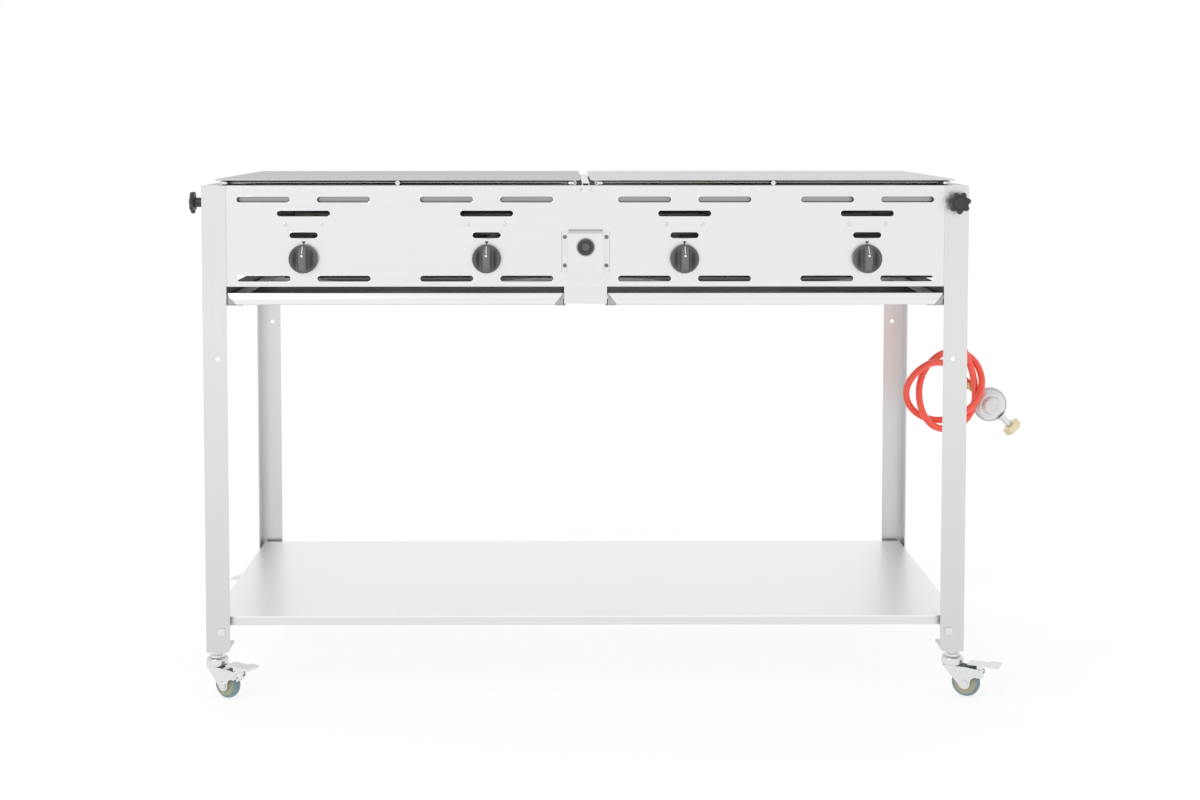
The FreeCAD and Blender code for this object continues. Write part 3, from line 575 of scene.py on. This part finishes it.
low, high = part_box("igniter_body")
igniter_z = (low[2] + high[2]) / 2
housing_front = housing_low[1]
pocket = housing_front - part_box("igniter_button")[1][1] - 0.008
barrel_profile = [(-0.055, 0.0), (-0.055, 0.0105), (0.0, 0.0108), (0.0, 0.0145), (0.0030, 0.0140),
                  (0.0012, 0.0128), (0.0010, 0.0096), (0.0018, 0.0088), (0.0018, 0.0084), (pocket, 0.0084),
                  (pocket, 0.0)]
rim_section = [(0.0, 0.0138), (0.0, 0.0160), (0.0022, 0.0160), (0.0036, 0.0154), (0.0040, 0.0146),
               (0.0034, 0.0138)]
igniter_plastic = moulded("igniter_plastic", (0.075, 0.075, 0.078), (0.045, 0.045, 0.048), 0.38, 1500.0)
rim_plastic = moulded("rim_plastic", (0.30, 0.30, 0.305), (0.24, 0.24, 0.245), 0.3, 1500.0)
button_plastic = moulded("button_plastic", (0.115, 0.115, 0.12), (0.085, 0.085, 0.09), 0.4, 1500.0)
make_piece("igniter_ring", ROOT, [igniter_plastic, rim_plastic],
           [(lathe(barrel_profile, (0, housing_front, igniter_z), FRONT, 64), False, True, 0),
            (lathe(rim_section, (0, housing_front, igniter_z), FRONT, 64), True, True, 1)], ["igniter_body"])
low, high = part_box("igniter_button")
button_profile = [(0.0, 0.0), (0.0, 0.0079), (0.0108, 0.0079), (0.0120, 0.0074), (0.0124, 0.0064),
                  (0.0121, 0.0050), (0.0117, 0.0025), (0.0116, 0.0)]
make_piece("igniter_push_button", "igniter_button", [button_plastic],
           [(lathe(button_profile, (0, high[1], igniter_z), FRONT, 48), False, True, 0)], ["igniter_button"])


# Spark electrodes. Glazed white ceramic rods on thin straps beside the burner bends.

ceramic = Paint("ceramic", (0.86, 0.85, 0.81), Roughness=0.18)
glaze = ceramic.noise((1, 1, 1), 120.0, 3.0)
ceramic.set("Base Color", ceramic.mix(glaze, (0.80, 0.78, 0.72), (0.90, 0.89, 0.86)))
coat(ceramic, "spark_electrodes")


# Grates. Chromed wire, spot welded; the crossings have a faint brown heat tint.

chrome = Paint("chrome_wire", (0.80, 0.80, 0.80), Metallic=1.0)
heat = chrome.noise((1, 1, 1), 14.0, 3.0)
chrome.set("Base Color", chrome.mix(heat * 0.6, (0.86, 0.86, 0.86), (0.62, 0.55, 0.46)))
chrome.set("Roughness", 0.12 + heat * 0.14)
coat(chrome, "grate_left", "grate_right")


# Covers. Two loose flat plates of thick brushed sheet with rolled edges and rounded corners.

LID_CORNER = 0.009


def lid_grid(low, high):
    """Rounded rectangle carried round a half round edge, and closed over both faces."""
    width, depth, thick = high[0] - low[0], high[1] - low[1], high[2] - low[2]
    centre = ((low[0] + high[0]) / 2, (low[1] + high[1]) / 2, (low[2] + high[2]) / 2)
    half = thick / 2
    edge = [(-half + half * math.cos(a), half * math.sin(a)) for a in np.linspace(-math.pi / 2, math.pi / 2, 9)]
    outline = rounded_outline(width, depth, LID_CORNER, 8)
    body = carried(outline, edge, centre, X_AXIS, Y_AXIS, Z_AXIS)
    under = np.broadcast_to(np.array(centre) - (0, 0, half), (1, *body.shape[1:]))
    over = np.broadcast_to(np.array(centre) + (0, 0, half), (1, *body.shape[1:]))
    return np.concatenate([under, body, over]), False, True, 0


# Painted light and shade: both covers are the same sheet, but the left is given a darker tone (0.72) and the right a
# paler one (0.82).
for side, tone in (("left", 0.72), ("right", 0.82)):
    name = "lid_" + side
    lid_steel = brushed(name + "_steel", (tone,) * 3, (tone - 0.08,) * 3, "X", 0.42, 0.004)
    lid_steel.set("Specular Tint", (tone, tone, tone, 1.0))
    make_piece("cover_" + side, name, [lid_steel], [lid_grid(*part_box(name))], [name], 8.0)


# Drip trays. Folded pans of thin sheet. The front lip is folded to a sloping band over a short
# upright one, mitred at its ends, and is what the user pulls. The upright band and the mitres get
# painted shade: darker tones in the colour.

TRAY_SHEET = 0.0012


def tray_pan(low, high):
    """Rounded rectangle carried down the outside, over the bottom and up the inside of the pan."""
    width, depth, tall = high[0] - low[0], high[1] - low[1], high[2] - low[2]
    centre = ((low[0] + high[0]) / 2, (low[1] + high[1]) / 2, low[2])
    profile = [(-0.003, 0.0), (-0.0009, 0.0009), (0.0, 0.003), (0.0, tall), (-TRAY_SHEET, tall),
               (-TRAY_SHEET, 0.0042), (-0.0021, 0.0021), (-0.0042, TRAY_SHEET)]
    wall = carried(rounded_outline(width, depth, 0.006), profile, centre, X_AXIS, Y_AXIS, Z_AXIS)
    under = np.broadcast_to(np.array(centre), (1, *wall.shape[1:]))
    over = np.broadcast_to(np.array(centre) + (0, 0, TRAY_SHEET), (1, *wall.shape[1:]))
    return np.concatenate([under, wall, over]), False, True, 0


def tray_lip(left, right, back, low, high):
    """Folded strip: a closed section carried from end to end, shorter where it stands further out."""
    section = np.array([(0.0, 0.0), (-0.0048, 0.0), (-0.0060, 0.0012), (-0.0060, 0.0095), (-0.0055, 0.0112),
                        (-0.0006, high - low - 0.0006), (0.0004, high - low), (0.0018, high - low),
                        (0.0018, high - low - 0.0010), (0.0006, high - low - 0.0018), (-0.0042, 0.0105),
                        (-0.0048, 0.0090), (-0.0048, 0.0016), (0.0, 0.0016)])
    mitre = -section[:, 0] * 0.9
    middle = np.broadcast_to(section.mean(0), section.shape)
    rows = []
    for x, side, part in ((left, 1, middle), (left, 1, section), (right, -1, section), (right, -1, middle)):
        end = x + side * mitre
        rows.append(np.stack([end, back + part[:, 0], low + part[:, 1]], -1))
    return np.stack(rows), False, True, 1


tray_steel = brushed("tray_steel", (0.80, 0.80, 0.80), (0.68, 0.68, 0.68), "Y", 0.34)
for side in ("left", "right"):
    name = "drip_tray_" + side
    low, high = (np.array(corner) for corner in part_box(name))
    pan_low = low + (0.002, 0.002, 0.0)
    pan_high = high - (0.002, 0.0, 0.005)
    lip_steel = brushed("lip_steel_" + side, (1.0, 1.0, 1.0), (0.96, 0.96, 0.96), "X", 0.3)
    mitre = (high[2] - lip_steel.axis("Z")) * 0.8
    mitre_shade = (lip_steel.axis("X") - low[0] < mitre) + (high[0] - lip_steel.axis("X") < mitre)
    # Painted shade: the short upright band is given a darker colour than the sloping band.
    lip_steel.over(lip_steel.axis("Z") < low[2] + 0.0112, (0.86, 0.86, 0.86))
    # Painted shade: a grey triangle at each end of the lip stands for the shaded mitre faces.
    lip_steel.over(mitre_shade, (0.45, 0.45, 0.45))
    make_piece("tray_" + side, name, [tray_steel, lip_steel],
               [tray_pan(pan_low, pan_high), tray_lip(low[0], high[0], low[1] + 0.0012, low[2], high[2])],
               [name], 25.0)


# Clamp knobs. Black seven lobed star knobs, moulded round a plated stud.

joints = {joint["name"]: joint for joint in frame["joints"]}
STAR_R = 0.020


def star(angle):
    """Seven rounded lobes: the radius swings by a cosine, flattened at the lobes."""
    wave = np.cos(7 * angle)
    return 1 - 0.115 * (1 - wave) / (1.25 + 0.25 * wave)


clamp_plastic = moulded("clamp_plastic", (0.045, 0.045, 0.047), (0.022, 0.022, 0.024), 0.28, 1200.0)
for corner in CORNERS:
    name = "clamp_knob_" + corner
    joint = joints["clamp_turn_" + corner]
    out = np.array(joint["axis"], float)
    spot = np.array(joint["pos_m"], float)
    face = {"front_left": (0, -0.670), "front_right": (1, -0.300), "rear_left": (1, 0.300),
            "rear_right": (0, 0.670)}[corner]
    spot[face[0]] = face[1]
    hub = lathe([(0.0003, 0.0), (0.0003, 0.0088), (0.0060, 0.0085), (0.0150, 0.0085)], spot, out, 40)
    head_profile = [(0.0158, 0.0060), (0.0156, 0.0120), (0.0145, 0.0150), (0.0147, 0.0180), (0.0160, 0.0196),
                    (0.0182, STAR_R), (0.0204, 0.0196), (0.0219, 0.0182), (0.0225, 0.0160), (0.0216, 0.0136),
                    (0.0214, 0.0110)]
    cap_profile = [(0.0210, 0.0118), (0.0222, 0.0116), (0.0232, 0.0108), (0.0235, 0.0090), (0.0230, 0.0066),
                   (0.0226, 0.0)]
    stud = lathe([(-0.014, 0.0), (-0.014, 0.0038), (0.0005, 0.0038)], spot, out, 24)
    make_piece("star_" + corner, name, [clamp_plastic, zinc_plate],
               [(hub, False, True, 0), (lathe(head_profile, spot, out, 112, star), False, True, 0),
                (lathe(cap_profile, spot, out, 48), False, True, 0), (stud, False, True, 1)], [name])


# Castors. Pressed and plated forks turn on a ball race under each foot plate; a grey rubber tyre is
# moulded on a beige hub, and the plated pedal swings down on its pin to press a shoe on the tyre.

coat(zinc("fork_plate", (0.82, 0.82, 0.83), (0.68, 0.69, 0.70)),
     *["castor_fork_" + corner for corner in CORNERS])
coat(zinc("pedal_plate", (0.84, 0.84, 0.85), (0.70, 0.71, 0.72)),
     *["brake_pedal_" + corner for corner in CORNERS])
WHEEL_R = 0.025
WHEEL_HALF = 0.009


def tyre_rubber():
    """Blue-grey rubber, dusty on the tread and with fine moulding lines."""
    paint = Paint("tyre_rubber", (0.12, 0.20, 0.22), Roughness=0.55)
    dust = paint.noise((1, 1, 1), 160.0, 4.0)
    paint.set("Base Color", paint.mix(dust, (0.10, 0.18, 0.20), (0.27, 0.36, 0.38)))
    paint.set("Roughness", 0.5 + dust * 0.25)
    paint.bump(dust, 0.2, 0.0003)
    return paint


def tyre_profile():
    """Rounded tread with five shallow grooves, and the sides down to the hub."""
    across = np.linspace(-1, 1, 41)
    crown = WHEEL_R - 0.0042 * np.abs(across) ** 2.6
    groove = 0.0003 * (np.cos(across * math.pi * 9) < -0.6)
    tread = [(WHEEL_HALF * a, r) for a, r in zip(across, crown - groove)]
    return [(-WHEEL_HALF + 0.0008, 0.0190), *tread, (WHEEL_HALF - 0.0008, 0.0190)]


tyre = tyre_rubber()
hub_plastic = moulded("hub_plastic", (0.44, 0.45, 0.31), (0.34, 0.35, 0.23), 0.45, 900.0)
hub_profile = [(-0.0107, 0.0), (-0.0107, 0.0078), (-0.0100, 0.0084), (-0.0068, 0.0090), (-0.0062, 0.0120),
               (-0.0074, 0.0180), (-0.0086, 0.0195), (0.0086, 0.0195), (0.0074, 0.0180), (0.0062, 0.0120),
               (0.0068, 0.0090), (0.0100, 0.0084), (0.0107, 0.0078), (0.0107, 0.0)]
for corner in CORNERS:
    joint = joints["wheel_roll_" + corner]
    centre = joint["pos_m"]
    axle = joint["axis"]
    make_piece("wheel_" + corner, "castor_wheel_" + corner, [tyre, hub_plastic],
               [(lathe(tyre_profile(), centre, axle, 96), False, True, 0),
                (lathe(hub_profile, centre, axle, 64), False, True, 1)], ["castor_wheel_" + corner])


# Regulator. A silver painted casting with a crimped flange, a pale plastic cap, and brass and steel
# fittings in line on each side; the large bottle nut turns on its neck.

HOSE_END = HOSE_ROUTE[-1]
SLOPE = np.array((1.0, 0.0, -1.0)) / math.sqrt(2)
OUTLET = 0.062
NECK = 0.055
REGULATOR = HOSE_END + SLOPE * OUTLET
cast_paint = Paint("cast_zinc", (0.78, 0.79, 0.80), Metallic=0.55)
skin = cast_paint.noise((1, 1, 1), 600.0, 3.0)
patch = cast_paint.noise((1, 1, 1), 60.0, 2.0)
cast_paint.set("Base Color", cast_paint.mix(patch, (0.82, 0.83, 0.84), (0.72, 0.73, 0.74)))
cast_paint.set("Roughness", 0.34 + patch * 0.14)
cast_paint.bump(skin, 0.25, 0.0003)
cap_plastic = moulded("cap_plastic", (0.80, 0.80, 0.79), (0.74, 0.74, 0.73), 0.4, 1200.0)
body_profile = [(-0.0110, 0.0), (-0.0110, 0.0240), (-0.0100, 0.0265), (-0.0040, 0.0300), (-0.0030, 0.0325),
                (-0.0024, 0.0335), (-0.0004, 0.0335), (0.0, 0.0330), (0.0004, 0.0335), (0.0024, 0.0333),
                (0.0030, 0.0325), (0.0028, 0.0316), (0.0010, 0.0310), (0.0010, 0.0304), (0.0050, 0.0298),
                (0.0072, 0.0290), (0.0120, 0.0235), (0.0136, 0.0205),
                (0.0140, 0.0178), (0.0130, 0.0172), (0.0130, 0.0)]
cap_profile = [(0.0120, 0.0), (0.0120, 0.0164), (0.0225, 0.0160), (0.0252, 0.0152), (0.0266, 0.0136),
               (0.0270, 0.0110), (0.0262, 0.0100), (0.0262, 0.0)]
fitting_profile = [(0.0, 0.0), (0.0, 0.0080), (0.0004, 0.0088), (0.0020, 0.0088), (0.0110, 0.0088),
                   (0.0115, 0.0082), (0.0130, 0.0082), (0.0135, 0.0088), (0.0160, 0.0088), (0.0165, 0.0082),
                   (0.0180, 0.0082), (0.0185, 0.0088), (0.0215, 0.0088), (0.0220, 0.0070), (0.0420, 0.0070)]
union_profile = [(0.0020, 0.0), (0.0020, 0.0088), (0.0027, 0.0095), (0.0103, 0.0095), (0.0110, 0.0088),
                 (0.0110, 0.0)]
neck_profile = [(0.0300, 0.0105), (0.0345, 0.0098), (0.0350, 0.0063), (0.0545, 0.0063), (0.0550, 0.0)]
regulator = make_piece(
    "regulator_body", ROOT, [cast_paint, cap_plastic, brass, zinc_plate],
    [(lathe(body_profile, REGULATOR, FRONT, 96), False, True, 0),
     (lathe(cap_profile, REGULATOR, FRONT, 72), False, True, 1),
     (lathe(fitting_profile, HOSE_END, SLOPE, 40), False, True, 2),
     (lathe(union_profile, HOSE_END, SLOPE, 48, hexagon), False, True, 2),
     (lathe(neck_profile, REGULATOR, SLOPE, 40), False, True, 3)], ["regulator"])
nut_profile = [(0.0003, 0.0063), (0.0003, 0.0140), (0.0012, 0.0155), (0.0138, 0.0155), (0.0148, 0.0142),
               (0.0150, 0.0116), (0.0144, 0.0109), (0.0030, 0.0109), (0.0030, 0.0063)]
pale_brass = machined_brass("pale_brass", (0.88, 0.79, 0.55), (0.70, 0.59, 0.36))
nut = make_piece("bottle_nut_brass", ROOT, [pale_brass],
                 [(lathe(nut_profile, REGULATOR + SLOPE * NECK, SLOPE, 96, hexagon), True, True, 0)],
                 ["bottle_nut"], 25.0)


# Studio. A plain white floor, a bright surround that is dimmer overhead, and a small soft light on
# the left.

floor_mesh = bpy.data.meshes.new("floor")
floor_mesh.from_pydata([(-9, -9, 0), (9, -9, 0), (9, 9, 0), (-9, 9, 0)], [], [(0, 1, 2, 3)])
floor_paint = Paint("floor", (0.30, 0.30, 0.30), Roughness=0.9, Emission_Strength=0.72)
floor_paint.set("Emission Color", (1.0, 1.0, 1.0, 1.0))
floor_mesh.materials.append(floor_paint.material)
floor = bpy.data.objects.new("floor", floor_mesh)
bpy.context.collection.objects.link(floor)

world = bpy.data.worlds.new("surround")
world.use_nodes = True
sky = world.node_tree
direction = sky.nodes.new("ShaderNodeSeparateXYZ")
height = sky.nodes.new("ShaderNodeMapRange")
tone = sky.nodes.new("ShaderNodeMix")
tone.data_type = "RGBA"
height.inputs["From Min"].default_value = 0.2
height.inputs["From Max"].default_value = 0.9
tone.inputs[6].default_value = (1.0, 1.0, 1.0, 1.0)
tone.inputs[7].default_value = (0.78, 0.78, 0.78, 1.0)
sky.links.new(sky.nodes.new("ShaderNodeTexCoord").outputs["Generated"], direction.inputs[0])
sky.links.new(direction.outputs["Z"], height.inputs["Value"])
sky.links.new(height.outputs[0], tone.inputs[0])
sky.links.new(tone.outputs[2], sky.nodes["Background"].inputs["Color"])
sky.nodes["Background"].inputs["Strength"].default_value = 1.0
bpy.context.scene.world = world


def softbox(name, place, aim, size, power):
    """Square area light that faces a point."""
    data = bpy.data.lights.new(name, "AREA")
    data.size = size
    data.energy = power
    made = bpy.data.objects.new(name, data)
    away = np.array(place) - np.array(aim)
    made.location = place
    made.rotation_euler = (math.acos(away[2] / np.linalg.norm(away)), 0.0, math.atan2(away[1], away[0]) + math.pi / 2)
    bpy.context.collection.objects.link(made)


softbox("key", (-1.8, -2.4, 2.6), (0, 0, 0.6), 0.7, 14.0)
bpy.context.scene.view_settings.view_transform = "Standard"
